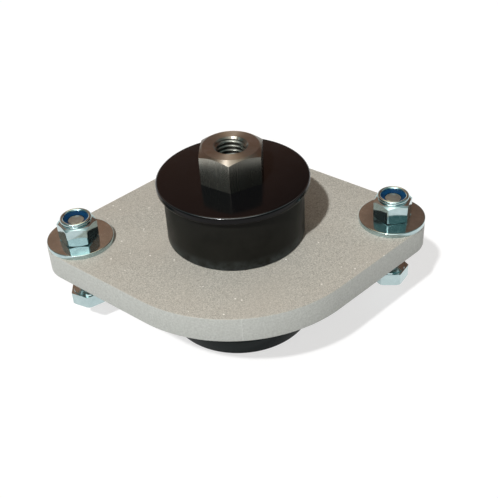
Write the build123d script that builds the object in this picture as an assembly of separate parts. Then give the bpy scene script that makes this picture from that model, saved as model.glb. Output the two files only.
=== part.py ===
from build123d import *
import os
from math import cos, pi, radians, sqrt, tan

# A transmission mount. An alloy plate is clamped between two rubber bushes, and the bushes
# between two steel discs. A steel boss with a tapped hexagon runs down through all of them
# and is held by a countersunk screw from below. A bolt with a broad washer and a lock nut
# hangs in each end of the plate.
#
# Millimetres. +X runs along the plate through both bolt holes, +Z is up, and the origin is
# on the underside of the lower disc, on the boss's axis.

# Mounting plate
plate_thickness = 10.0
plate_centre_radius = 51.5
plate_end_radius = 12.3
plate_edge_break = 0.3
bolt_spacing = 118.0

# Rubber bushes, two alike
bush_diameter = 51.6
bush_height = 21.3
bush_edge_radius = 0.8
neck_diameter = 36.0
neck_end_gap = 0.1

# Steel discs
disc_diameter = 56.2
upper_disc_thickness = 3.0
lower_disc_thickness = 6.5
disc_edge_radius = 0.9

# Centre boss: a hexagon with a tapped hole, in one piece with its shank
boss_across_flats = 22.0
boss_hexagon_height = 12.3
boss_top_diameter = 20.6
boss_turn = -96.0
shank_diameter = 18.0
main_thread_diameter = 12.0
main_hole_diameter = 10.2
main_hole_depth = 22.0
mouth_margin = 0.3

# Retaining screw, countersunk, with a hexagon socket
screw_diameter = 10.0
screw_length = 25.0
screw_end_chamfer = 0.8
screw_head_diameter = 20.0
screw_head_rim = 0.5
screw_socket_across_flats = 6.0
screw_socket_depth = 3.6
screw_recess = 0.3
screw_hole_spare = 3.0

# Bolts, two alike
bolt_diameter = 8.0
bolt_length = 31.4
bolt_end_chamfer = 1.0
bolt_head_across_flats = 13.0
bolt_head_height = 5.3
head_corner_break = 0.5
bolt_hole_diameter = 9.0
bolt_tip_depth = 1.5
bearing_ring_diameter = 11.8
bearing_ring_height = 0.3

# Washers, two alike
washer_diameter = 25.0
washer_thickness = 1.8
washer_bore = 9.0
washer_edge_radius = 0.25

# Lock nuts, two alike, each with a nylon insert under its rolled rim
nut_across_flats = 13.0
nut_corner_break = 1.33
nut_height = 9.3
nut_hexagon_height = 7.5
collar_diameter = 11.9
collar_root_diameter = 11.4
collar_root_height = 0.35
rim_radius = 0.7
rim_depth = 0.8
lip_radius = 0.4
rim_opening_diameter = 9.2
insert_height = 2.1
insert_diameter = 9.9

# Angles
hexagon_chamfer_angle = 30.0
nut_top_chamfer_angle = 35.0
countersink_angle = 90.0
drill_point_angle = 118.0

# Clearances between pieces that fit in each other, radially
sliding_gap = 0.15
thread_gap = 0.05
insert_gap = 0.1

# Two edges count as one size within this
same_size = 0.01

# How each pair of loose fasteners has come to lie: the side along X, the turns of one
# corner of the nut and of the bolt head, and the washer's shift as a share of its play
fastener_sets = {
    "left": {"side": -1, "nut_turn": -116.0, "head_turn": -90.0, "washer_shift": (0.7, 0.3)},
    "right": {"side": 1, "nut_turn": -114.5, "head_turn": -126.0, "washer_shift": (-0.4, -0.5)},
}

# Levels, from the underside upwards
lower_bush_base = lower_disc_thickness
plate_base = lower_bush_base + bush_height
plate_top = plate_base + plate_thickness
upper_disc_base = plate_top + bush_height
hexagon_base = upper_disc_base + upper_disc_thickness
boss_top = hexagon_base + boss_hexagon_height
nut_base = plate_top + washer_thickness
bolt_tip = nut_base + nut_height - bolt_tip_depth
head_face = bolt_tip - bolt_length


def turned(outline):
    """A solid of revolution about Z from a closed outline of radius and height pairs."""
    return revolve(Plane.XZ * make_face(Polyline(*outline, close=True)), Axis.Z)


def round_bar(diameter, low, high):
    """A round bar about Z."""
    return Pos(0, 0, (low + high) / 2) * Cylinder(diameter / 2, high - low)


def hexagon(across_flats, low, high, turn):
    """A hexagonal bar about Z, with one corner at the angle turn."""
    section = RegularPolygon(across_flats / 2, 6, major_radius=False, rotation=turn)
    return Pos(0, 0, low) * extrude(section, high - low)


def corner_radius(across_flats):
    """The radius of the circle through a hexagon's corners."""
    return across_flats / 2 / cos(pi / 6)


def corner_drop(width, angle=hexagon_chamfer_angle):
    """How far a chamfer on a hexagon comes down at its corners, from its width at them."""
    return width * tan(radians(angle))


def round_edges(solid, diameter, radius):
    """Round the circular edges of one diameter."""
    edges = solid.edges().filter_by(GeomType.CIRCLE)
    rims = edges.filter_by(lambda edge: abs(edge.radius - diameter / 2) < same_size)
    return fillet(rims, radius)


def make_mounting_plate():
    """The plate's outline is the tangent hull of its round middle and its two round ends."""
    bolt_offset = bolt_spacing / 2
    lean = (plate_centre_radius - plate_end_radius) / bolt_offset
    rise = sqrt(1 - lean**2)
    near_x, near_y = plate_centre_radius * lean, plate_centre_radius * rise
    far_x, far_y = bolt_offset + plate_end_radius * lean, plate_end_radius * rise
    outline = []
    for side in (1, -1):
        crown = side * plate_centre_radius
        tip = side * (bolt_offset + plate_end_radius)
        outline.append(ThreePointArc((-near_x, side * near_y), (0, crown), (near_x, side * near_y)))
        outline.append(ThreePointArc((side * far_x, far_y), (tip, 0), (side * far_x, -far_y)))
        for along in (1, -1):
            outline.append(Line((along * near_x, side * near_y), (along * far_x, side * far_y)))
    plate = Pos(0, 0, plate_base) * extrude(make_face(outline), plate_thickness)
    faces = plate.faces().sort_by(Axis.Z)
    plate = chamfer(faces[0].edges() + faces[-1].edges(), plate_edge_break)
    plate -= round_bar(neck_diameter + 2 * sliding_gap, plate_base, plate_top)
    bolt_hole = round_bar(bolt_hole_diameter, plate_base, plate_top)
    for side in (1, -1):
        plate -= Pos(side * bolt_offset, 0, 0) * bolt_hole
    return plate


def make_bush(base, upwards):
    """A bush that stands on its disc with its neck in the plate, upwards or downwards."""
    body_radius, neck_radius = bush_diameter / 2, neck_diameter / 2
    bore_radius = shank_diameter / 2 + sliding_gap
    neck_end = bush_height + plate_thickness / 2 - neck_end_gap
    bush = turned([
        (bore_radius, 0), (body_radius, 0), (body_radius, bush_height),
        (neck_radius, bush_height), (neck_radius, neck_end), (bore_radius, neck_end),
    ])
    bush = round_edges(bush, bush_diameter, bush_edge_radius)
    if not upwards:
        bush = Rot(180, 0, 0) * bush
    return Pos(0, 0, base) * bush


def make_upper_disc():
    bore_radius = shank_diameter / 2 + sliding_gap
    radius = disc_diameter / 2
    disc = turned([
        (bore_radius, upper_disc_base), (radius, upper_disc_base),
        (radius, hexagon_base), (bore_radius, hexagon_base),
    ])
    return round_edges(disc, disc_diameter, disc_edge_radius)


def screw_head_levels():
    """Heights of the countersunk head's flat end, of its rim's end and of its cone's end."""
    cone_height = (screw_head_diameter - screw_diameter) / 2 / tan(radians(countersink_angle / 2))
    rim_end = screw_recess + screw_head_rim
    return screw_recess, rim_end, rim_end + cone_height


def make_lower_disc():
    rim_end, cone_end = screw_head_levels()[1:]
    radius = disc_diameter / 2
    head_radius = screw_head_diameter / 2 + sliding_gap
    hole_radius = screw_diameter / 2 + sliding_gap
    disc = turned([
        (head_radius, 0), (radius, 0), (radius, lower_disc_thickness),
        (hole_radius, lower_disc_thickness), (hole_radius, cone_end), (head_radius, rim_end),
    ])
    return round_edges(disc, disc_diameter, disc_edge_radius)


def make_retaining_screw():
    head_end, rim_end, cone_end = screw_head_levels()
    head_radius, radius = screw_head_diameter / 2, screw_diameter / 2
    tip = head_end + screw_length
    screw = turned([
        (0, head_end), (head_radius, head_end), (head_radius, rim_end), (radius, cone_end),
        (radius, tip - screw_end_chamfer), (radius - screw_end_chamfer, tip), (0, tip),
    ])
    return screw - hexagon(screw_socket_across_flats, head_end, head_end + screw_socket_depth, 0)


def drilled_hole(diameter, mouth, depth, upwards):
    """A blind hole with a drill point, open upwards or downwards at the height mouth."""
    radius = diameter / 2
    point = radius / tan(radians(drill_point_angle / 2))
    way = -1 if upwards else 1
    return turned([
        (0, mouth), (radius, mouth), (radius, mouth + way * depth),
        (0, mouth + way * (depth + point)),
    ])


def make_centre_boss():
    """The hexagon's top corners are turned off, and its hole has a chamfered mouth."""
    corner = corner_radius(boss_across_flats)
    drop = corner_drop(corner - boss_top_diameter / 2)
    blank = turned([
        (0, hexagon_base), (corner, hexagon_base), (corner, boss_top - drop),
        (boss_top_diameter / 2, boss_top), (0, boss_top),
    ])
    boss = hexagon(boss_across_flats, hexagon_base, boss_top, boss_turn) & blank
    boss += round_bar(shank_diameter, lower_disc_thickness, hexagon_base)
    boss -= drilled_hole(main_hole_diameter, boss_top, main_hole_depth, True)
    mouth_radius = main_thread_diameter / 2 + mouth_margin
    boss -= turned([(0, boss_top), (mouth_radius, boss_top), (0, boss_top - mouth_radius)])
    screw_depth = screw_recess + screw_length - lower_disc_thickness + screw_hole_spare
    screw_hole = screw_diameter + 2 * thread_gap
    return boss - drilled_hole(screw_hole, lower_disc_thickness, screw_depth, False)


def make_washer():
    """A washer about Z, standing on the height 0."""
    bore, radius = washer_bore / 2, washer_diameter / 2
    washer = turned([(bore, 0), (radius, 0), (radius, washer_thickness), (bore, washer_thickness)])
    return round_edges(washer, washer_diameter, washer_edge_radius)


def make_nut_turning():
    """The turned shape of the nut: chamfers, collar and rolled rim, with the insert's groove."""
    corner = corner_radius(nut_across_flats)
    circle_radius = corner - nut_corner_break
    shoulder = nut_hexagon_height - corner_drop(nut_corner_break, nut_top_chamfer_angle)
    collar_root, collar = collar_root_diameter / 2, collar_diameter / 2
    lip = rim_opening_diameter / 2
    bore = bolt_diameter / 2 + thread_gap
    groove = insert_diameter / 2 + thread_gap
    groove_top = nut_height - rim_depth
    groove_base = groove_top - insert_height - 2 * thread_gap
    return turned([
        (bore, 0), (circle_radius, 0), (corner, corner_drop(nut_corner_break)),
        (corner, shoulder), (circle_radius, nut_hexagon_height),
        (collar_root, nut_hexagon_height + collar_root_height),
        (collar, nut_hexagon_height + 2 * collar_root_height),
        (collar, nut_height), (lip, nut_height), (lip, groove_top),
        (groove, groove_top), (groove, groove_base), (bore, groove_base),
    ])


def make_lock_nut(turn):
    """A nut about Z, standing on the height 0."""
    turning = make_nut_turning()
    for size, radius in ((collar_diameter, rim_radius), (rim_opening_diameter, lip_radius)):
        rims = turning.edges().filter_by(GeomType.CIRCLE).group_by(Axis.Z)[-1]
        rim = rims.filter_by(lambda edge: abs(edge.radius - size / 2) < same_size)
        turning = fillet(rim, radius)
    blank = hexagon(nut_across_flats, 0, nut_hexagon_height, turn)
    return turning & (blank + round_bar(2 * collar_diameter, nut_hexagon_height, nut_height))


def make_nylon_insert():
    """A ring that the bolt has pressed into the shape of its end, at its height in the nut."""
    radius = insert_diameter / 2
    top = nut_height - rim_depth - thread_gap
    tip = nut_height - bolt_tip_depth + insert_gap / 2
    bore = bolt_diameter / 2 + insert_gap
    mouth = bore - bolt_end_chamfer
    return turned([
        (bore, top - insert_height), (radius, top - insert_height), (radius, top),
        (rim_opening_diameter / 2, top), (mouth, tip), (bore, tip - bolt_end_chamfer),
    ])


def make_bolt(turn):
    """A bolt about Z with its head down and its bearing ring's face at the height 0."""
    radius, ring = bolt_diameter / 2, bearing_ring_diameter / 2
    corner = corner_radius(bolt_head_across_flats)
    head_end = -bolt_head_height
    head = turned([
        (0, head_end), (corner - head_corner_break, head_end),
        (corner, head_end + corner_drop(head_corner_break)),
        (corner, -bearing_ring_height), (0, -bearing_ring_height),
    ])
    head &= hexagon(bolt_head_across_flats, head_end, -bearing_ring_height, turn)
    shank = turned([
        (0, -bearing_ring_height), (ring, -bearing_ring_height), (ring, 0), (radius, 0),
        (radius, bolt_length - bolt_end_chamfer), (radius - bolt_end_chamfer, bolt_length),
        (0, bolt_length),
    ])
    return head + shank


def make_fastener_set(name, side, nut_turn, head_turn, washer_shift):
    """The bolt, washer, nut and insert at one end of the plate, by node name."""
    bolt_x = side * bolt_spacing / 2
    play = (washer_bore - bolt_diameter) / 2
    shift_x, shift_y = (share * play for share in washer_shift)
    return {
        f"bolt_{name}": Pos(bolt_x, 0, head_face) * make_bolt(head_turn),
        f"washer_{name}": Pos(bolt_x + shift_x, shift_y, plate_top) * make_washer(),
        f"lock_nut_{name}": Pos(bolt_x, 0, nut_base) * make_lock_nut(nut_turn),
        f"nylon_insert_{name}": Pos(bolt_x, 0, nut_base) * make_nylon_insert(),
    }


nodes = {
    "mounting_plate": make_mounting_plate(),
    "upper_bush": make_bush(upper_disc_base, False),
    "lower_bush": make_bush(lower_bush_base, True),
    "upper_disc": make_upper_disc(),
    "lower_disc": make_lower_disc(),
    "centre_boss": make_centre_boss(),
    "retaining_screw": make_retaining_screw(),
}
for set_name, details in fastener_sets.items():
    nodes.update(make_fastener_set(set_name, **details))

os.makedirs("parts", exist_ok=True)
for node_name, solid in nodes.items():
    export_step(solid, f"parts/{node_name}.step")
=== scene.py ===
import bpy
import bmesh
import math
from mathutils import Matrix, Vector


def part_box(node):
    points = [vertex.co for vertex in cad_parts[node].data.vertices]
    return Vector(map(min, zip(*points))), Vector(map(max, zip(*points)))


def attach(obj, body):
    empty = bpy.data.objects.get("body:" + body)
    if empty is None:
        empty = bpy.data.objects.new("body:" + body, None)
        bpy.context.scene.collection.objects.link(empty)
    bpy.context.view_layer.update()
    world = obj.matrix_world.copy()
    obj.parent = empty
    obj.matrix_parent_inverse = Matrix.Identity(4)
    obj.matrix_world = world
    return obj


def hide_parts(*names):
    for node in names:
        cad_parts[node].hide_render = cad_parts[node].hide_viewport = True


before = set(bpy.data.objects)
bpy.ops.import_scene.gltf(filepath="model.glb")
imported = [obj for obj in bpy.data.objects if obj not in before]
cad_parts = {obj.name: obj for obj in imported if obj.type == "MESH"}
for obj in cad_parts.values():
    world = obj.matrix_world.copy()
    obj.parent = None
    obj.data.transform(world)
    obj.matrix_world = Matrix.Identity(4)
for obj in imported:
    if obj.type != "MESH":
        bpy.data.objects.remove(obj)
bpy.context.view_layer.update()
mm = 0.001
hair = 0.001 * mm       # points nearer than this are one
past = 1                # how far a cutter reaches past what it cuts, in millimetres
print("frame loaded,", len(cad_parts), "nodes")

# heights of the solids that everything is seated on, read from the frame
plateLow, plateHigh = (corner.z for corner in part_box("mounting_plate"))
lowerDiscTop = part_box("lower_disc")[1].z
upperDiscLow, upperDiscTop = (corner.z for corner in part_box("upper_disc"))
boltX = {side: sum(corner.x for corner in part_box("bolt_" + side)) / 2 for side in ("left", "right")}


# small helpers for working as in the editor

def startFresh():
    if bpy.context.object and bpy.context.object.mode != "OBJECT":
        bpy.ops.object.mode_set(mode="OBJECT")
    bpy.ops.object.select_all(action="DESELECT")


def editPiece(piece):
    startFresh()
    piece.select_set(True)
    bpy.context.view_layer.objects.active = piece
    bpy.ops.object.mode_set(mode="EDIT")


def pickEdges(piece, test):
    # selects only the edges whose two ends both pass the test
    mesh = bmesh.from_edit_mesh(piece.data)
    bpy.ops.mesh.select_mode(type="EDGE")
    bpy.ops.mesh.select_all(action="DESELECT")
    for edge in mesh.edges:
        if test(edge.verts[0].co, edge.verts[1].co):
            edge.select_set(True)
    bmesh.update_edit_mesh(piece.data)


def nearRing(radius, height):
    slack = 0.02 * mm
    return lambda a, b: all(
        abs(p.xy.length - radius) < slack and abs(p.z - height) < slack for p in (a, b)
    )


def bevelRing(piece, radius, height, width, segments):
    # rounds one circular edge, given in millimetres
    editPiece(piece)
    pickEdges(piece, nearRing(radius * mm, height * mm))
    bpy.ops.mesh.bevel(offset=width * mm, offset_type="OFFSET", segments=segments, affect="EDGES")
    bpy.ops.object.mode_set(mode="OBJECT")


def closeMesh(piece):
    editPiece(piece)
    bpy.ops.mesh.select_all(action="SELECT")
    bpy.ops.mesh.remove_doubles(threshold=hair)
    bpy.ops.mesh.normals_make_consistent(inside=False)
    bpy.ops.object.mode_set(mode="OBJECT")


def turnPiece(name, rings, segments):
    # drawn out ring by ring from a circle, as on a lathe; radius and height pairs in millimetres.
    # A radius of zero at either end closes that end, and equal ends make a ring.
    startFresh()
    pole = rings[0] if rings[0][0] == 0 else None
    walk = rings[1:] if pole else rings
    firstRadius, firstHeight = walk[0]
    bpy.ops.mesh.primitive_circle_add(
        vertices=segments, radius=firstRadius * mm, location=(0, 0, firstHeight * mm),
        fill_type="TRIFAN" if pole else "NOTHING")
    piece = bpy.context.object
    piece.name = piece.data.name = name
    bpy.ops.object.transform_apply(location=True)
    bpy.ops.object.mode_set(mode="EDIT")
    if pole:
        bpy.ops.mesh.select_mode(type="VERT")
        bpy.ops.mesh.select_all(action="DESELECT")
        mesh = bmesh.from_edit_mesh(piece.data)
        centre = min(mesh.verts, key=lambda v: v.co.xy.length)
        centre.select_set(True)
        bpy.ops.transform.translate(value=(0, 0, (pole[1] - firstHeight) * mm))
        pickEdges(piece, nearRing(firstRadius * mm, firstHeight * mm))
    else:
        bpy.ops.mesh.select_all(action="SELECT")
    for (radius, height), (nextRadius, nextHeight) in zip(walk, walk[1:]):
        lift = (nextHeight - height) * mm
        bpy.ops.mesh.extrude_edges_move(TRANSFORM_OT_translate={"value": (0, 0, lift)})
        if nextRadius == 0:
            bpy.ops.mesh.merge(type="CENTER")
        elif nextRadius != radius:
            share = nextRadius / radius
            bpy.ops.transform.resize(value=(share, share, 1), center_override=(0, 0, nextHeight * mm))
    bpy.ops.object.mode_set(mode="OBJECT")
    closeMesh(piece)
    return piece


def arcRings(centre, radius, start, end, steps):
    # points of a rounding in the lathe's outline, angles in degrees
    points = []
    for step in range(steps + 1):
        angle = math.radians(start + (end - start) * step / steps)
        points.append((centre[0] + radius * math.cos(angle), centre[1] + radius * math.sin(angle)))
    return points


def hexCorner(acrossFlats):
    return acrossFlats / 2 / math.cos(math.radians(30))


def chamferDrop(corner, circle, slope):
    # how far a hexagon's corner falls below the flat circle inside it
    return (corner - circle) * math.tan(math.radians(slope))


def hexBar(name, acrossFlats, low, high, turn, edgeRound):
    # a hexagon bar with one corner at the angle turn and its long edges softened
    startFresh()
    bpy.ops.mesh.primitive_cylinder_add(
        vertices=6, radius=hexCorner(acrossFlats) * mm, depth=(high - low) * mm,
        location=(0, 0, (low + high) / 2 * mm), rotation=(0, 0, math.radians(turn - 90)))
    piece = bpy.context.object
    piece.name = piece.data.name = name
    bpy.ops.object.transform_apply(location=True, rotation=True)
    editPiece(piece)
    pickEdges(piece, lambda a, b: abs(a.z - b.z) > (high - low) / 2 * mm)
    bpy.ops.mesh.bevel(offset=edgeRound * mm, segments=4, affect="EDGES")
    bpy.ops.object.mode_set(mode="OBJECT")
    return piece


def combine(piece, other, operation):
    # applies a boolean and throws the other piece away
    cut = piece.modifiers.new("combine", "BOOLEAN")
    cut.operation = operation
    cut.solver = "EXACT"
    cut.object = other
    startFresh()
    piece.select_set(True)
    bpy.context.view_layer.objects.active = piece
    bpy.ops.object.modifier_apply(modifier=cut.name)
    bpy.data.objects.remove(other)
    return piece


def smoothPiece(piece, angle=25):
    startFresh()
    piece.select_set(True)
    bpy.context.view_layer.objects.active = piece
    bpy.ops.object.shade_smooth_by_angle(angle=math.radians(angle))


def movePiece(piece, shift, turn=0):
    # the place goes into the mesh, and the object stays at the origin
    place = Matrix.Translation(Vector(shift) * mm) @ Matrix.Rotation(math.radians(turn), 4, "Z")
    piece.data.transform(place)


def copyPiece(piece, name, shift):
    twin = piece.copy()
    twin.data = piece.data.copy()
    twin.name = twin.data.name = name
    bpy.context.scene.collection.objects.link(twin)
    movePiece(twin, shift)
    return twin


# the rounded foot of a thread's tooth, as shares of its depth and of the flat at its root
toothFoot = ((0, 0.27), (0.04, 0.5), (0.13, 0.73))
spareTurns = 3          # turns wound besides those that stay, half of them below


def screwThread(name, size, low, high):
    # one tooth's outline is wound up a screw, and both ends are then cut flat
    startFresh()
    crest, root, pitch = size["crest"], size["root"], size["pitch"]
    start = low - spareTurns / 2 * pitch
    foot = [(root + up * (crest - root), along * size["rootFlat"]) for up, along in toothFoot]
    rising = [(root, 0), *foot, (crest, (pitch - size["crestFlat"]) / 2)]
    outline = rising + [(radius, pitch - height) for radius, height in reversed(rising)]
    bpy.ops.mesh.primitive_plane_add(size=mm, location=(outline[0][0] * mm, 0, start * mm))
    piece = bpy.context.object
    piece.name = piece.data.name = name
    bpy.ops.object.transform_apply(location=True)
    bpy.ops.object.mode_set(mode="EDIT")
    bpy.ops.mesh.select_mode(type="VERT")
    bpy.ops.mesh.select_all(action="SELECT")
    bpy.ops.mesh.merge(type="CENTER")
    for (radius, height), (nextRadius, nextHeight) in zip(outline, outline[1:]):
        step = ((nextRadius - radius) * mm, 0, (nextHeight - height) * mm)
        bpy.ops.mesh.extrude_vertices_move(TRANSFORM_OT_translate={"value": step})
    bpy.ops.object.mode_set(mode="OBJECT")
    winding = piece.modifiers.new("winding", "SCREW")
    winding.axis = "Z"
    winding.screw_offset = pitch * mm
    winding.iterations = math.ceil((high - low) / pitch) + spareTurns
    winding.steps = winding.render_steps = size["turnSteps"]
    winding.use_merge_vertices = False
    bpy.ops.object.modifier_apply(modifier=winding.name)
    closeMesh(piece)
    for height, clearBelow in ((low, True), (high, False)):
        editPiece(piece)
        bpy.ops.mesh.select_all(action="SELECT")
        bpy.ops.mesh.bisect(
            plane_co=(0, 0, height * mm), plane_no=(0, 0, 1), use_fill=True, threshold=hair,
            clear_inner=clearBelow, clear_outer=not clearBelow)
        bpy.ops.object.mode_set(mode="OBJECT")
    closeMesh(piece)
    return piece


# sizes of the plate, which its sawn edge reads too
plate = {"middle": 51.5, "middleSides": 256, "end": 12.3, "endSides": 128, "edge": 0.3, "edgeSteps": 3,
         "bore": 36.3, "boltHole": 9.0, "holeSides": 96, "hullAngle": 1, "flatAngle": 0.2,
         "sideBelow": 0.3}


# materials: a noise is its count per metre, detail and roughness, gloss is a range of roughness, and
# a bump is its strength and its depth in millimetres

def newMaterial(name, look):
    material = bpy.data.materials.new(name)
    material.use_nodes = True
    shader = material.node_tree.nodes["Principled BSDF"]
    shader.inputs["Base Color"].default_value = (*look["colour"], 1)
    shader.inputs["Roughness"].default_value = look["roughness"]
    shader.inputs["Metallic"].default_value = look["metallic"]
    for part, socket in (("specular", "Specular IOR Level"), ("drawnOut", "Anisotropic"),
                         ("drawnTurn", "Anisotropic Rotation")):
        if part in look:
            shader.inputs[socket].default_value = look[part]
    return material, material.node_tree, shader


def addNode(tree, kind, **settings):
    node = tree.nodes.new(kind)
    for name, value in settings.items():
        setattr(node, name, value)
    return node


def noiseField(tree, perMetre, detail, roughness, stretch=(1, 1, 1)):
    # a noise on object coordinates; a stretch below one draws it out into streaks
    coordinates = addNode(tree, "ShaderNodeTexCoord")
    mapping = addNode(tree, "ShaderNodeMapping")
    mapping.inputs["Scale"].default_value = stretch
    noise = addNode(tree, "ShaderNodeTexNoise")
    noise.inputs["Scale"].default_value = perMetre
    noise.inputs["Detail"].default_value = detail
    noise.inputs["Roughness"].default_value = roughness
    tree.links.new(coordinates.outputs["Object"], mapping.inputs["Vector"])
    tree.links.new(mapping.outputs["Vector"], noise.inputs["Vector"])
    return noise.outputs["Fac"]


def spread(tree, value, low, high, fromLow=0.3, fromHigh=0.7):
    # maps a value from one range to another; most of a noise lies between 0.3 and 0.7
    node = addNode(tree, "ShaderNodeMapRange")
    tree.links.new(value, node.inputs["Value"])
    node.inputs["From Min"].default_value = fromLow
    node.inputs["From Max"].default_value = fromHigh
    node.inputs["To Min"].default_value = low
    node.inputs["To Max"].default_value = high
    return node.outputs["Result"]


def workOut(tree, operation, *values):
    # a sum on sockets or plain numbers
    node = addNode(tree, "ShaderNodeMath", operation=operation)
    for socket, value in zip(node.inputs, values):
        if isinstance(value, (int, float)):
            socket.default_value = value
        else:
            tree.links.new(value, socket)
    return node.outputs["Value"]


def distanceFrom(tree, axis, middle):
    # how far a point of the piece lies from a plane across one axis
    place = addNode(tree, "ShaderNodeSeparateXYZ")
    tree.links.new(addNode(tree, "ShaderNodeTexCoord").outputs["Object"], place.inputs["Vector"])
    return workOut(tree, "ABSOLUTE", workOut(tree, "SUBTRACT", place.outputs[axis], middle))


def blendColours(tree, share, first, second):
    # first and second are colours or sockets
    mix = addNode(tree, "ShaderNodeMix", data_type="RGBA")
    sockets = [s for s in mix.inputs if s.type == "RGBA"]
    for socket, colour in zip(sockets, (first, second)):
        if isinstance(colour, tuple):
            socket.default_value = (*colour, 1)
        else:
            tree.links.new(colour, socket)
    tree.links.new(share, mix.inputs["Factor"])
    return next(s for s in mix.outputs if s.type == "RGBA")


def tint(tree, shader, noise, first, second, most=1):
    # the colour drifts from the first towards the second as the noise rises
    mixed = blendColours(tree, spread(tree, noise, 0, most), first, second)
    tree.links.new(mixed, shader.inputs["Base Color"])


def varyGloss(tree, shader, noise, low, high):
    tree.links.new(spread(tree, noise, low, high), shader.inputs["Roughness"])


def addBump(tree, shader, height, strength, depth):
    bump = addNode(tree, "ShaderNodeBump")
    bump.inputs["Strength"].default_value = strength
    bump.inputs["Distance"].default_value = depth * mm
    tree.links.new(height, bump.inputs["Height"])
    tree.links.new(bump.outputs["Normal"], shader.inputs["Normal"])


def ringTangent(tree, shader):
    # tool marks that run round the axis
    rings = addNode(tree, "ShaderNodeTangent", direction_type="RADIAL", axis="Z")
    tree.links.new(rings.outputs["Tangent"], shader.inputs["Tangent"])


blastedLook = {
    "colour": (0.71, 0.69, 0.618), "dark": (0.255, 0.248, 0.213), "roughness": 0.62, "metallic": 0.06,
    "grain": (3000, 3, 0.6), "bump": (0.7, 0.06), "speckle": (1800, 2, 0.5), "gloss": (0.5, 0.75),
    "warm": (0.515, 0.477, 0.41), "warmMost": 0.45, "warmFrom": (0.4, 0.7), "blotch": (35, 3, 0.5),
    "paintedGlint": (0.95, 0.93, 0.88), "paintedGlintPerMetre": 230, "paintedGlintRadii": (0.055, 0.0825),
}


def makeBlastedAlloy():
    look = blastedLook
    material, tree, shader = newMaterial("blastedAlloy", look)
    grain = noiseField(tree, *look["grain"])
    speckle = noiseField(tree, *look["speckle"])
    blotch = noiseField(tree, *look["blotch"])
    base = blendColours(tree, spread(tree, grain, 0, 1), look["dark"], look["colour"])
    warmShare = spread(tree, blotch, 0, look["warmMost"], *look["warmFrom"])
    warmed = blendColours(tree, warmShare, base, look["warm"])
    # small pale spots over the grain: painted glints
    coordinates = addNode(tree, "ShaderNodeTexCoord")
    glintCells = addNode(tree, "ShaderNodeTexVoronoi")
    glintCells.inputs["Scale"].default_value = look["paintedGlintPerMetre"]
    tree.links.new(coordinates.outputs["Object"], glintCells.inputs["Vector"])
    paintedGlint = spread(tree, glintCells.outputs["Distance"], 1, 0, *look["paintedGlintRadii"])
    tree.links.new(blendColours(tree, paintedGlint, warmed, look["paintedGlint"]), shader.inputs["Base Color"])
    varyGloss(tree, shader, speckle, *look["gloss"])
    addBump(tree, shader, grain, *look["bump"])
    return material


sawnLook = {
    "colour": (0.62, 0.645, 0.61), "dark": (0.45, 0.47, 0.44), "roughness": 0.5, "metallic": 0.12,
    "grain": (1500, 3, 0.6), "lines": (1300, 3, 0.6), "stretch": (1, 1, 0.08), "gloss": (0.44, 0.56),
    "bump": (0.12, 0.02), "lined": (0.53, 0.55, 0.52), "linedMost": 0.4, "cloud": (60, 3, 0.5),
    # the line where the cut began: its place along the plate and half widths, in millimetres
    "start": (0.80, 0.82, 0.79), "startMost": 0.28, "startAt": -0.5, "startWidths": (0.05, 0.25),
    "startDepths": (1, 2),
}


def makeSawnEdge():
    # the plate's cut side, with fine lines across its thickness
    look = sawnLook
    material, tree, shader = newMaterial("sawnEdge", look)
    grain = noiseField(tree, *look["grain"])
    lines = noiseField(tree, *look["lines"], look["stretch"])
    cloud = noiseField(tree, *look["cloud"])
    base = blendColours(tree, spread(tree, grain, 0, 1), look["dark"], look["colour"])
    sides = blendColours(tree, spread(tree, cloud, 0, look["linedMost"]), base, look["lined"])
    # a pale upright line where the cut began, in the middle of the front
    acrossLine = spread(tree, distanceFrom(tree, "X", look["startAt"] * mm), look["startMost"], 0,
                        *(width * mm for width in look["startWidths"]))
    onFront = spread(tree, distanceFrom(tree, "Y", -plate["middle"] * mm), 1, 0,
                     *(depth * mm for depth in look["startDepths"]))
    began = workOut(tree, "MULTIPLY", acrossLine, onFront)
    tree.links.new(blendColours(tree, began, sides, look["start"]), shader.inputs["Base Color"])
    varyGloss(tree, shader, lines, *look["gloss"])
    addBump(tree, shader, lines, *look["bump"])
    return material


rubberLook = {
    "colour": (0.0075, 0.0075, 0.006), "light": (0.0125, 0.0123, 0.010), "roughness": 0.42,
    "metallic": 0, "specular": 0.1, "cloud": (140, 4, 0.6), "gloss": (0.36, 0.5),
    "fine": (3200, 2, 0.5), "bump": (0.25, 0.02),
    "dustAndSheen": (0.10, 0.12, 0.12), "dustAndSheenMost": 0.6, "dustAndSheenReach": 5, "dustAndSheenPatches": (260, 4, 0.65),
}


def makeBlackRubber():
    look = rubberLook
    material, tree, shader = newMaterial("blackRubber", look)
    cloud = noiseField(tree, *look["cloud"])
    base = blendColours(tree, spread(tree, cloud, 0, 1), look["colour"], look["light"])
    # a little dust near the plate, with a painted reflection of the pale plate
    away = distanceFrom(tree, "Z", (plateLow + plateHigh) / 2)
    halfPlate = (plateHigh - plateLow) / 2
    near = spread(tree, away, look["dustAndSheenMost"], 0, halfPlate, halfPlate + look["dustAndSheenReach"] * mm)
    patchy = spread(tree, noiseField(tree, *look["dustAndSheenPatches"]), 0, 1)
    dustedAndSheened = blendColours(tree, workOut(tree, "MULTIPLY", near, patchy), base, look["dustAndSheen"])
    tree.links.new(dustedAndSheened, shader.inputs["Base Color"])
    varyGloss(tree, shader, cloud, *look["gloss"])
    addBump(tree, shader, noiseField(tree, *look["fine"]), *look["bump"])
    return material


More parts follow.
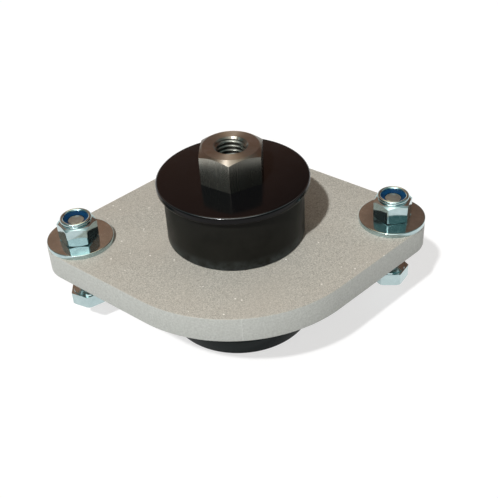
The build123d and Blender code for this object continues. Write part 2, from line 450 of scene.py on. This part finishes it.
discLook = {
    "upper": {"colour": (0.0035, 0.0032, 0.0036), "specular": 0.14},
    # the lower disc's copy of the same black paint is lighter and glossier: painted light against the
    # plate's shade over it
    "lower": {"colour": (0.003, 0.012, 0.013), "specular": 0.2},
    "roughness": 0.12, "metallic": 0, "cloud": (220, 4, 0.6), "gloss": (0.09, 0.2),
    "peel": (900, 2, 0.5), "bump": (0.12, 0.02),
}


def makeBlackGloss(name, level):
    look = {**discLook, **discLook[level]}
    material, tree, shader = newMaterial(name, look)
    varyGloss(tree, shader, noiseField(tree, *look["cloud"]), *look["gloss"])
    addBump(tree, shader, noiseField(tree, *look["peel"]), *look["bump"])
    return material


rubbedLook = {
    "colour": (0.13, 0.13, 0.133), "worn": (0.07, 0.07, 0.073), "roughness": 0.14, "metallic": 0.9,
    "cloud": (260, 4, 0.6),
}


def makeRubbedEdge():
    # the upper disc's rim, where the black is worn thin
    look = rubbedLook
    material, tree, shader = newMaterial("rubbedEdge", look)
    tint(tree, shader, noiseField(tree, *look["cloud"]), look["worn"], look["colour"])
    return material


turnedLook = {
    "colour": (0.235, 0.225, 0.202), "stain": (0.205, 0.165, 0.125), "stainMost": 0.8,
    "roughness": 0.34, "metallic": 1, "drawnOut": 0.82, "drawnTurn": 0.25, "cloud": (260, 4, 0.6),
    "gloss": (0.34, 0.45),
}


def makeTurnedSteel():
    # the faced top and what else the lathe cut
    look = turnedLook
    material, tree, shader = newMaterial("turnedSteel", look)
    ringTangent(tree, shader)
    cloud = noiseField(tree, *look["cloud"])
    tint(tree, shader, cloud, look["colour"], look["stain"], look["stainMost"])
    varyGloss(tree, shader, cloud, *look["gloss"])
    return material


drawnLook = {
    "colour": (0.42, 0.42, 0.37), "dark": (0.37, 0.37, 0.33), "stain": (0.205, 0.165, 0.125),
    "stainMost": 0.4, "roughness": 0.24, "metallic": 0.94, "drawnOut": 0.3, "cloud": (180, 4, 0.6),
    "streaks": (1100, 4, 0.6), "stretch": (1, 1, 0.04), "gloss": (0.25, 0.28), "paintedShadeTone": 0.42,
}


def makeDrawnSteel(name, tone=1):
    # the hexagon's sides, with fine lines along the bar; a darker copy of this steel is painted shade on
    # the faces to the right
    toned = {part: tuple(tone * v for v in drawnLook[part]) for part in ("colour", "dark", "stain")}
    look = {**drawnLook, **toned}
    material, tree, shader = newMaterial(name, look)
    ringTangent(tree, shader)
    streaks = noiseField(tree, *look["streaks"], look["stretch"])
    base = blendColours(tree, spread(tree, streaks, 0, 1), look["dark"], look["colour"])
    tint(tree, shader, noiseField(tree, *look["cloud"]), base, look["stain"], look["stainMost"])
    varyGloss(tree, shader, streaks, *look["gloss"])
    return material


tappedLook = {
    "colour": (0.27, 0.275, 0.25), "oiledAndShaded": (0.13, 0.125, 0.11), "roughness": 0.3, "metallic": 1,
    "cloud": (500, 3, 0.6),
}


def makeTappedSteel():
    # the thread in the hole, dark with cutting oil and with painted shade of the deep hole
    look = tappedLook
    material, tree, shader = newMaterial("tappedSteel", look)
    tint(tree, shader, noiseField(tree, *look["cloud"]), look["colour"], look["oiledAndShaded"])
    return material


zincLook = {
    "colour": (0.48, 0.60, 0.61), "dark": (0.40, 0.51, 0.52), "roughness": 0.1, "metallic": 0.985,
    "cloud": (320, 4, 0.6), "gloss": (0.06, 0.14), "fine": (1500, 3, 0.6), "bump": (0.1, 0.01),
}


def makeBrightZinc():
    look = zincLook
    material, tree, shader = newMaterial("brightZinc", look)
    cloud = noiseField(tree, *look["cloud"])
    tint(tree, shader, cloud, look["dark"], look["colour"])
    varyGloss(tree, shader, cloud, *look["gloss"])
    addBump(tree, shader, noiseField(tree, *look["fine"]), *look["bump"])
    return material


rolledLook = {
    "colour": (0.38, 0.52, 0.57), "dark": (0.32, 0.43, 0.47), "pale": (0.44, 0.59, 0.64),
    "roughness": 0.34, "metallic": 1, "cloud": (700, 4, 0.6),
}


def makeRolledEnd():
    # the bolts' flat ends, duller than the rest
    look = rolledLook
    material, tree, shader = newMaterial("rolledEnd", look)
    tint(tree, shader, noiseField(tree, *look["cloud"]), look["dark"], look["pale"])
    return material


nylonLook = {
    "colour": (0.001, 0.027, 0.078), "light": (0.002, 0.045, 0.118), "roughness": 0.4,
    "metallic": 0, "specular": 0.1, "cloud": (500, 3, 0.6), "bump": (0.2, 0.02),
}


def makeBlueNylon():
    look = nylonLook
    material, tree, shader = newMaterial("blueNylon", look)
    cloud = noiseField(tree, *look["cloud"])
    tint(tree, shader, cloud, look["colour"], look["light"])
    addBump(tree, shader, cloud, *look["bump"])
    return material


darkLook = {
    "colour": (0.045, 0.045, 0.048), "dark": (0.035, 0.035, 0.038), "pale": (0.08, 0.078, 0.078),
    "roughness": 0.35, "metallic": 1, "cloud": (300, 4, 0.6), "gloss": (0.28, 0.45),
}


def makeDarkSteel():
    # the blackened retaining screw
    look = darkLook
    material, tree, shader = newMaterial("darkSteel", look)
    cloud = noiseField(tree, *look["cloud"])
    tint(tree, shader, cloud, look["dark"], look["pale"])
    varyGloss(tree, shader, cloud, *look["gloss"])
    return material


finishes = {
    "blastedAlloy": makeBlastedAlloy(),
    "sawnEdge": makeSawnEdge(),
    "blackRubber": makeBlackRubber(),
    "blackGloss": makeBlackGloss("blackGloss", "upper"),
    "liftedLowerGloss": makeBlackGloss("liftedLowerGloss", "lower"),
    "rubbedEdge": makeRubbedEdge(),
    "turnedSteel": makeTurnedSteel(),
    "drawnSteel": makeDrawnSteel("drawnSteel"),
    # the darker copy of the drawn steel, painted shade for the hexagon's right-hand faces
    "shadedSideSteel": makeDrawnSteel("shadedSideSteel", drawnLook["paintedShadeTone"]),
    "tappedSteel": makeTappedSteel(),
    "brightZinc": makeBrightZinc(),
    "rolledEnd": makeRolledEnd(),
    "blueNylon": makeBlueNylon(),
    "darkSteel": makeDarkSteel(),
}


def finishPiece(piece, node, finish):
    # gives a piece its finish and puts it in the place of its solid
    piece.data.materials.clear()
    piece.data.materials.append(finishes[finish])
    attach(piece, "root")
    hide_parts(node)


# the solids are hidden behind the pieces, but each has a material too
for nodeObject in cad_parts.values():
    nodeObject.data.materials.clear()
    nodeObject.data.materials.append(finishes["blackRubber"])
print("materials ready")


# the mounting plate: three drums wrapped in one hull

def makePlate():
    startFresh()
    p = plate
    low, high = plateLow / mm, plateHigh / mm
    ends = boltX["left"] / mm, boltX["right"] / mm
    drums = [(0, p["middle"], p["middleSides"])] + [(x, p["end"], p["endSides"]) for x in ends]
    holes = [(0, p["bore"] / 2)] + [(x, p["boltHole"] / 2) for x in ends]
    for x, radius, sides in drums:
        bpy.ops.mesh.primitive_cylinder_add(
            vertices=sides, radius=radius * mm, depth=(high - low) * mm,
            location=(x * mm, 0, (low + high) / 2 * mm))
        bpy.ops.object.transform_apply(location=True)
        if x == 0:
            piece = bpy.context.object
        else:
            piece.select_set(True)
            bpy.context.view_layer.objects.active = piece
            bpy.ops.object.join()
    piece.name = piece.data.name = "mountingPlate"
    editPiece(piece)
    bpy.ops.mesh.select_all(action="SELECT")
    hullAngle = math.radians(p["hullAngle"])
    bpy.ops.mesh.convex_hull(face_threshold=hullAngle, shape_threshold=hullAngle)
    bpy.ops.mesh.dissolve_limited(angle_limit=math.radians(p["flatAngle"]))
    bpy.ops.mesh.select_all(action="DESELECT")
    pickEdges(piece, lambda a, b: abs(a.z - b.z) < p["edge"] * mm)
    bpy.ops.mesh.bevel(offset=p["edge"] * mm, segments=p["edgeSteps"], affect="EDGES")
    bpy.ops.object.mode_set(mode="OBJECT")
    for x, radius in holes:
        drill = turnPiece("drill", [
            (0, low - past), (radius, low - past), (radius, high + past), (0, high + past)], p["holeSides"])
        movePiece(drill, (x, 0, 0))
        combine(piece, drill, "DIFFERENCE")
    smoothPiece(piece)
    finishPiece(piece, "mounting_plate", "blastedAlloy")
    piece.data.materials.append(finishes["sawnEdge"])
    for face in piece.data.polygons:
        face.material_index = 0 if abs(face.normal.z) > p["sideBelow"] else 1


makePlate()
print("plate done")


# the two rubber bushes
bush = {"radius": 25.8, "height": 21.3, "neck": 18.0, "neckEnd": 26.2, "bore": 9.15, "rounding": 0.8,
        "roundingSteps": 5, "sides": 160}


def makeBushes():
    b = bush
    lower = turnPiece("lowerBush", [
        (b["bore"], 0), (b["radius"], 0), (b["radius"], b["height"]), (b["neck"], b["height"]),
        (b["neck"], b["neckEnd"]), (b["bore"], b["neckEnd"]), (b["bore"], 0)], b["sides"])
    for height in (0, b["height"]):
        bevelRing(lower, b["radius"], height, b["rounding"], b["roundingSteps"])
    smoothPiece(lower)
    upper = copyPiece(lower, "upperBush", (0, 0, 0))
    upper.data.transform(Matrix.Rotation(math.pi, 4, "X"))
    movePiece(lower, (0, 0, lowerDiscTop / mm))
    movePiece(upper, (0, 0, upperDiscLow / mm))
    finishPiece(lower, "lower_bush", "blackRubber")
    finishPiece(upper, "upper_bush", "blackRubber")


makeBushes()
print("bushes done")


# the two steel discs; rubbed is the slope of the upper rim's worn part
disc = {"radius": 28.1, "rounding": 0.9, "roundingSteps": 6, "sides": 192, "bore": 9.15,
        "screwHole": 5.15, "headHole": 10.15, "headRim": 0.8, "headCone": 5.8, "rubbed": (0.7, 0.83)}


def makeDiscs():
    d = disc
    r, low, high = d["radius"], upperDiscLow / mm, upperDiscTop / mm
    upper = turnPiece("upperDisc", [
        (d["bore"], low), (r, low), (r, high), (d["bore"], high), (d["bore"], low)], d["sides"])
    for height in (low, high):
        bevelRing(upper, r, height, d["rounding"], d["roundingSteps"])
    smoothPiece(upper)
    finishPiece(upper, "upper_disc", "blackGloss")
    upper.data.materials.append(finishes["rubbedEdge"])
    for face in upper.data.polygons:
        if d["rubbed"][0] < face.normal.z < d["rubbed"][1]:
            face.material_index = 1
    top = lowerDiscTop / mm
    lower = turnPiece("lowerDisc", [
        (d["headHole"], 0), (r, 0), (r, top), (d["screwHole"], top), (d["screwHole"], d["headCone"]),
        (d["headHole"], d["headRim"]), (d["headHole"], 0)], d["sides"])
    for height in (0, top):
        bevelRing(lower, r, height, d["rounding"], d["roundingSteps"])
    smoothPiece(lower)
    # the lower disc takes the lighter copy of the paint, painted light
    finishPiece(lower, "lower_disc", "liftedLowerGloss")


makeDiscs()
print("discs done")


# the centre boss with its tapped hexagon
boss = {"flats": 22.0, "cornerRounding": 0.15, "topRadius": 10.3, "slope": 30, "turn": -96, "shank": 9.0,
        "crest": 6.0, "root": 5.1, "pitch": 1.75, "crestFlat": 0.22, "rootFlat": 0.44, "turnSteps": 48,
        "tapTurn": 75, "holeDepth": 22, "mouth": 6.3, "screwHole": 5.05, "screwDepth": 21.8,
        "sides": 144, "mouthSides": 96, "sideBelow": 0.1, "paintedShadeFrom": 0.25, "tapBelow": 0.3}


def makeBoss():
    b = boss
    top, seat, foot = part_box("centre_boss")[1].z / mm, upperDiscTop / mm, lowerDiscTop / mm
    corner = hexCorner(b["flats"])
    drop = chamferDrop(corner, b["topRadius"], b["slope"])
    piece = turnPiece("centreBoss", [
        (0, top), (b["topRadius"], top), (corner, top - drop), (corner, seat), (b["shank"], seat),
        (b["shank"], foot), (b["screwHole"], foot), (b["screwHole"], foot + b["screwDepth"]),
        (0, foot + b["screwDepth"])], b["sides"])
    bar = hexBar("bar", b["flats"], foot - past, top + past, b["turn"], b["cornerRounding"])
    combine(piece, bar, "INTERSECT")
    hole = screwThread("tap", b, top - b["holeDepth"], top + past)
    movePiece(hole, (0, 0, 0), b["tapTurn"])
    combine(piece, hole, "DIFFERENCE")
    mouth = turnPiece("mouth", [
        (0, top + past), (b["mouth"] + past, top + past), (0, top - b["mouth"])], b["mouthSides"])
    combine(piece, mouth, "DIFFERENCE")
    smoothPiece(piece)
    finishPiece(piece, "centre_boss", "turnedSteel")
    for finish in ("drawnSteel", "shadedSideSteel", "tappedSteel"):
        piece.data.materials.append(finishes[finish])
    tapLow, tapHigh = top - b["holeDepth"] - past, top - b["tapBelow"]
    for face in piece.data.polygons:
        out, height = face.center.xy.length / mm, face.center.z / mm
        if abs(face.normal.z) < b["sideBelow"] and height > seat and out > b["shank"]:
            # faces turned towards +x take the darker copy: painted shade
            face.material_index = 2 if face.normal.x > b["paintedShadeFrom"] else 1
        # the thread in the hole takes the darker tapped finish, partly painted shade
        elif out < b["crest"] and tapLow < height < tapHigh:
            face.material_index = 3


makeBoss()
print("boss done")


# washers
washer = {"radius": 12.5, "bore": 4.5, "thickness": 1.8, "topRounding": 0.3, "topSteps": 5,
          "lowRounding": 0.15, "lowSteps": 4, "sides": 144}


def makeWashers():
    w = washer
    pattern = turnPiece("washerPattern", [
        (w["bore"], 0), (w["radius"], 0), (w["radius"], w["thickness"]), (w["bore"], w["thickness"]),
        (w["bore"], 0)], w["sides"])
    bevelRing(pattern, w["radius"], w["thickness"], w["topRounding"], w["topSteps"])
    bevelRing(pattern, w["radius"], 0, w["lowRounding"], w["lowSteps"])
    smoothPiece(pattern)
    for side in ("left", "right"):
        low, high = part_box("washer_" + side)
        centre = (low + high) / 2 / mm
        piece = copyPiece(pattern, side + "Washer", (centre.x, centre.y, low.z / mm))
        finishPiece(piece, "washer_" + side, "brightZinc")
    bpy.data.objects.remove(pattern)


makeWashers()
print("washers done")


# lock nuts: rootFlare is where the chamfer runs out into the root below the bead, outwards and upwards
nut = {"flats": 13.0, "cornerRounding": 0.28, "height": 9.3, "hexHeight": 7.5, "circle": 6.18,
       "lowSlope": 30, "topSlope": 35, "root": 5.48, "rootRise": 0.33, "rootFlare": (0.14, 0.16),
       "bead": 5.25, "beadRadius": 0.7, "beadArc": (-62, 155, 15), "opening": 4.6, "lip": 0.2,
       "groove": 5.0, "grooveLow": 6.3, "grooveTop": 8.5, "bore": 4.05, "sides": 120,
       "turn": {"left": -116, "right": -114.5}}


def makeNuts():
    n = nut
    corner = hexCorner(n["flats"])
    lowDrop, topDrop = (chamferDrop(corner, n["circle"], n[slope]) for slope in ("lowSlope", "topSlope"))
    hexTop, top = n["hexHeight"], n["height"]
    flareOut, flareUp = n["rootFlare"]
    rings = [
        (n["bore"], 0), (n["circle"], 0), (corner, lowDrop), (corner, hexTop - topDrop),
        (n["circle"], hexTop), (n["root"] + flareOut, hexTop + flareUp),
        (n["root"], hexTop + n["rootRise"]),
        *arcRings((n["bead"], top - n["beadRadius"]), n["beadRadius"], *n["beadArc"]),
        (n["opening"], n["grooveTop"] + n["lip"]), (n["opening"], n["grooveTop"]),
        (n["groove"], n["grooveTop"]), (n["groove"], n["grooveLow"]), (n["bore"], n["grooveLow"]),
        (n["bore"], 0)]
    for side in ("left", "right"):
        piece = turnPiece(side + "LockNut", rings, n["sides"])
        bar = hexBar("bar", n["flats"], -past, top + past, n["turn"][side], n["cornerRounding"])
        combine(piece, bar, "INTERSECT")
        smoothPiece(piece)
        movePiece(piece, (boltX[side] / mm, 0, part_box("lock_nut_" + side)[0].z / mm))
        finishPiece(piece, "lock_nut_" + side, "brightZinc")


# their nylon inserts, bulged where the bolt's thread presses into them
insert = {"radius": 4.95, "bore": 4.1, "straight": 0.5, "tip": 3.1, "tipHeight": 1.5, "height": 2.1,
          "mouth": 4.6, "shoulders": ((0.55, 0.66), (0.15, 0.22)), "smoothAngle": 50, "sides": 120}


def makeInserts():
    i = insert
    fall, reach = i["height"] - i["tipHeight"], i["mouth"] - i["tip"]
    shoulders = [(i["tip"] + out * reach, i["tipHeight"] + up * fall) for out, up in i["shoulders"]]
    rings = [
        (i["bore"], 0), (i["radius"], 0), (i["radius"], i["height"]), (i["mouth"], i["height"]),
        *shoulders, (i["tip"], i["tipHeight"]), (i["bore"], i["straight"]), (i["bore"], 0)]
    for side in ("left", "right"):
        piece = turnPiece(side + "NylonInsert", rings, i["sides"])
        smoothPiece(piece, i["smoothAngle"])
        movePiece(piece, (boltX[side] / mm, 0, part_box("nylon_insert_" + side)[0].z / mm))
        finishPiece(piece, "nylon_insert_" + side, "blueNylon")


makeNuts()
makeInserts()
print("nuts and inserts done")


# bolts, head down, threaded nearly to the head: zero is the face under the head
bolt = {"flats": 13.0, "cornerRounding": 0.22, "headHeight": 5.3, "circle": 7.0, "slope": 30,
        "barLow": -9, "ring": 5.9, "ringHeight": 0.3, "ringFlare": 0.2, "overlap": 1,
        "neck": 3.6, "neckEnd": 2.4, "fillet": ((0.4, 0), (0.1, 0.1), (0, 0.4)),
        "crest": 4.0, "root": 3.25, "pitch": 1.25, "crestFlat": 0.16, "rootFlat": 0.25, "turnSteps": 40,
        "runOut": (-0.5, 0.6), "spare": 0.1, "length": 31.4, "tip": 3.0, "tipInset": 0.33,
        "tipRounding": 0.8, "tipArc": (45, 90, 4), "endFacing": 0.99, "endDepth": 0.05,
        "sides": 120, "blankSides": 96, "turn": {"left": -90, "right": -126}}


def makeBolts():
    b = bolt
    corner = hexCorner(b["flats"])
    drop = chamferDrop(corner, b["circle"], b["slope"])
    neckTop = b["neckEnd"] + b["overlap"]
    runOutLow, runOutTop = (b["neckEnd"] + shift for shift in b["runOut"])
    blankRadius = b["crest"] + b["spare"]
    tipLow = b["length"] - (b["crest"] - b["tip"]) - b["spare"]
    for side in ("left", "right"):
        head = turnPiece(side + "Bolt", [
            (0, -b["headHeight"]), (b["circle"], -b["headHeight"]), (corner, drop - b["headHeight"]),
            (corner, -b["ringHeight"]), (b["ring"] + b["ringFlare"], -b["ringHeight"]), (b["ring"], 0),
            *((b["neck"] + out, up) for out, up in b["fillet"]), (b["neck"], neckTop), (0, neckTop)],
            b["sides"])
        bar = hexBar("bar", b["flats"], b["barLow"], b["length"], b["turn"][side], b["cornerRounding"])
        combine(head, bar, "INTERSECT")
        rod = screwThread("rod", b, b["neckEnd"], b["length"])
        blank = turnPiece("blank", [
            (0, runOutLow), (b["root"], runOutLow), (blankRadius, runOutTop), (blankRadius, tipLow),
            *arcRings((b["tip"] - b["tipInset"], b["length"] - b["tipRounding"]), b["tipRounding"],
                      *b["tipArc"]),
            (0, b["length"])], b["blankSides"])
        combine(rod, blank, "INTERSECT")
        combine(head, rod, "UNION")
        smoothPiece(head)
        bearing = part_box("bolt_" + side)[1].z / mm - b["length"]
        movePiece(head, (boltX[side] / mm, 0, bearing))
        finishPiece(head, "bolt_" + side, "brightZinc")
        head.data.materials.append(finishes["rolledEnd"])
        endLow = (bearing + b["length"] - b["endDepth"]) * mm
        for face in head.data.polygons:
            if face.normal.z > b["endFacing"] and face.center.z > endLow:
                face.material_index = 1


makeBolts()
print("bolts done")


# the countersunk retaining screw under the lower disc
screw = {"low": 0.3, "head": 10.0, "headEdge": 0.15, "rim": 0.8, "cone": 5.8, "radius": 5.0,
         "length": 25.0, "chamfer": 0.8, "sides": 128, "socket": 6.0, "socketDepth": 3.6,
         "socketRounding": 0.1, "flareRadius": 4.2, "flareDepth": 3.7, "flareLow": 0.5, "flareSides": 96}


def makeScrew():
    s = screw
    low, tip = s["low"], s["low"] + s["length"]
    piece = turnPiece("retainingScrew", [
        (0, low), (s["head"] - s["headEdge"], low), (s["head"], low + s["headEdge"]),
        (s["head"], s["rim"]), (s["radius"], s["cone"]), (s["radius"], tip - s["chamfer"]),
        (s["radius"] - s["chamfer"], tip), (0, tip)], s["sides"])
    socket = hexBar("socket", s["socket"], -past, low + s["socketDepth"], 0, s["socketRounding"])
    combine(piece, socket, "DIFFERENCE")
    flare = turnPiece("flare", [
        (0, low - s["flareLow"]), (s["flareRadius"], low - s["flareLow"]), (0, low + s["flareDepth"])],
        s["flareSides"])
    combine(piece, flare, "DIFFERENCE")
    smoothPiece(piece)
    finishPiece(piece, "retaining_screw", "darkSteel")


makeScrew()
print("retaining screw done")


# floor, lamps, sky and camera
floorLook = {"colour": (0.4, 0.4, 0.4), "roughness": 0.9, "metallic": 0, "specular": 0, "lift": 0.66,
             "size": 12, "cuts": 4}


def makeFloor():
    startFresh()
    bpy.ops.mesh.primitive_plane_add(size=floorLook["size"], location=(0, 0, 0))
    floor = bpy.context.object
    floor.name = "floor"
    bpy.ops.object.mode_set(mode="EDIT")
    bpy.ops.mesh.subdivide(number_cuts=floorLook["cuts"])
    bpy.ops.object.mode_set(mode="OBJECT")
    material, tree, shader = newMaterial("paleFloor", floorLook)
    # the floor looks white to the camera and to shiny pieces, and its shadow stays
    lift = addNode(tree, "ShaderNodeEmission")
    paths = addNode(tree, "ShaderNodeLightPath")
    seen = paths.outputs["Is Camera Ray"]
    for ray in ("Is Glossy Ray", "Is Transmission Ray"):
        seen = workOut(tree, "MAXIMUM", seen, paths.outputs[ray])
    tree.links.new(workOut(tree, "MULTIPLY", seen, floorLook["lift"]), lift.inputs["Strength"])
    together = addNode(tree, "ShaderNodeAddShader")
    output = tree.nodes["Material Output"]
    tree.links.new(shader.outputs["BSDF"], together.inputs[0])
    tree.links.new(lift.outputs["Emission"], together.inputs[1])
    tree.links.new(together.outputs["Shader"], output.inputs["Surface"])
    floor.data.materials.append(material)


keyLight = {"towards": (-9.2, -17.4, 24.3), "angle": 2.4, "strength": 2.9}


def makeKeyLight():
    data = bpy.data.lights.new("keyLight", "SUN")
    data.energy = keyLight["strength"]
    data.angle = math.radians(keyLight["angle"])
    lamp = bpy.data.objects.new("keyLight", data)
    bpy.context.scene.collection.objects.link(lamp)
    lamp.rotation_mode = "QUATERNION"
    lamp.rotation_quaternion = Vector(keyLight["towards"]).to_track_quat("Z", "Y")


# what shiny pieces mirror: patches of sky by azimuth, elevation, and outer and inner half width in
# degrees, and each lies over those before it
skyBase = (0.10, 0.085, 0.072)
skyPatches = [
    (170, 54, 46, 26, (0.50, 0.57, 0.56)),      # pale upper walls on both sides
    (4, 52, 46, 26, (0.50, 0.57, 0.56)),
    (92, 36, 48, 40, (0.38, 0.195, 0.13)),      # brown room behind
    (146, 36, 26, 15, (0.36, 0.235, 0.18)),     # and its far corner on the left
    (90, -60, 82, 76, (0.85, 0.92, 0.90)),      # and the pale backdrop that stands up to it
    (90, 64, 17, 9, (2.7, 1.9, 1.2)),           # warm lamp high up behind
    (50, 36, 32, 22, (0.20, 0.10, 0.068)),
    (-45, 30, 50, 20, (0.10, 0.22, 0.22)),      # dim teal in front on the right
    (190, 28, 36, 16, (0.09, 0.20, 0.20)),      # and on the left
    (-96, 36, 22, 13, (1.62, 1.58, 1.58)),      # pale wall behind the camera
    (-134, 49, 11, 8, (4.6, 4.8, 4.6)),         # windows round the key light
    (-112, 51, 11, 8, (4.6, 4.8, 4.6)),
    (-90, 52, 11, 8, (4.0, 4.2, 4.0)),
    (-100, 72, 34, 18, (1.3, 1.4, 1.33)),       # pale ceiling with its lamp
    (-120, 84, 15, 7, (2.5, 2.5, 2.35)),
]
skyFill = {"colour": (0.92, 0.79, 0.70), "strength": 0.18}


def makeSky():
    world = bpy.data.worlds.new("sky")
    bpy.context.scene.world = world
    world.use_nodes = True
    tree = world.node_tree
    direction = addNode(tree, "ShaderNodeTexCoord").outputs["Generated"]
    colour = skyBase
    for azimuth, elevation, outer, inner, patch in skyPatches:
        a, e = math.radians(azimuth), math.radians(elevation)
        middle = (math.cos(a) * math.cos(e), math.sin(a) * math.cos(e), math.sin(e))
        dot = addNode(tree, "ShaderNodeVectorMath", operation="DOT_PRODUCT")
        tree.links.new(direction, dot.inputs[0])
        dot.inputs[1].default_value = middle
        share = addNode(tree, "ShaderNodeMapRange", interpolation_type="SMOOTHSTEP")
        tree.links.new(dot.outputs["Value"], share.inputs["Value"])
        share.inputs["From Min"].default_value = math.cos(math.radians(outer))
        share.inputs["From Max"].default_value = math.cos(math.radians(inner))
        colour = blendColours(tree, share.outputs["Result"], colour, patch)
    mirrored = tree.nodes["Background"]
    tree.links.new(colour, mirrored.inputs["Color"])
    fill = addNode(tree, "ShaderNodeBackground")
    fill.inputs["Color"].default_value = (*skyFill["colour"], 1)
    fill.inputs["Strength"].default_value = skyFill["strength"]
    white = addNode(tree, "ShaderNodeBackground")
    white.inputs["Color"].default_value = (1, 1, 1, 1)
    paths = addNode(tree, "ShaderNodeLightPath")
    soft = addNode(tree, "ShaderNodeMixShader")
    tree.links.new(paths.outputs["Is Diffuse Ray"], soft.inputs["Fac"])
    tree.links.new(mirrored.outputs["Background"], soft.inputs[1])
    tree.links.new(fill.outputs["Background"], soft.inputs[2])
    choose = addNode(tree, "ShaderNodeMixShader")
    tree.links.new(paths.outputs["Is Camera Ray"], choose.inputs["Fac"])
    tree.links.new(soft.outputs["Shader"], choose.inputs[1])
    tree.links.new(white.outputs["Background"], choose.inputs[2])
    tree.links.new(choose.outputs["Shader"], tree.nodes["World Output"].inputs["Surface"])


# the camera is fitted to the photograph: pixels on a 498-pixel square frame
camera = {"focalPixels": 898.07, "frame": 498, "azimuth": -0.975, "elevation": 36.536, "roll": 3.456,
          "distance": 339.13, "centrePixel": (236.43, 229.52), "sensor": 36.0, "clip": (0.01, 30)}


def makeCamera():
    c = camera
    azimuth, elevation, roll = (math.radians(c[k]) for k in ("azimuth", "elevation", "roll"))
    back = Vector((math.sin(azimuth) * math.cos(elevation), -math.cos(azimuth) * math.cos(elevation),
                   math.sin(elevation)))
    right = Vector((math.cos(azimuth), math.sin(azimuth), 0))
    up = back.cross(right)
    right, up = (math.cos(roll) * right - math.sin(roll) * up, math.sin(roll) * right + math.cos(roll) * up)
    half = c["frame"] / 2
    across = (c["centrePixel"][0] - half) / c["focalPixels"]
    upward = (half - c["centrePixel"][1]) / c["focalPixels"]
    target = Vector((0, 0, plateHigh))      # the middle of the plate's top face
    data = bpy.data.cameras.new("camera")
    data.sensor_width = c["sensor"]
    data.lens = c["focalPixels"] / c["frame"] * c["sensor"]
    data.clip_start, data.clip_end = c["clip"]
    holder = bpy.data.objects.new("camera", data)
    bpy.context.scene.collection.objects.link(holder)
    eye = target + c["distance"] * mm * (back - across * right - upward * up)
    turn = Matrix((right, up, back)).transposed().to_4x4()
    holder.matrix_world = Matrix.Translation(eye) @ turn
    bpy.context.scene.camera = holder


makeFloor()
makeKeyLight()
makeSky()
makeCamera()
bpy.context.scene.view_settings.view_transform = "Standard"
print("stage ready")
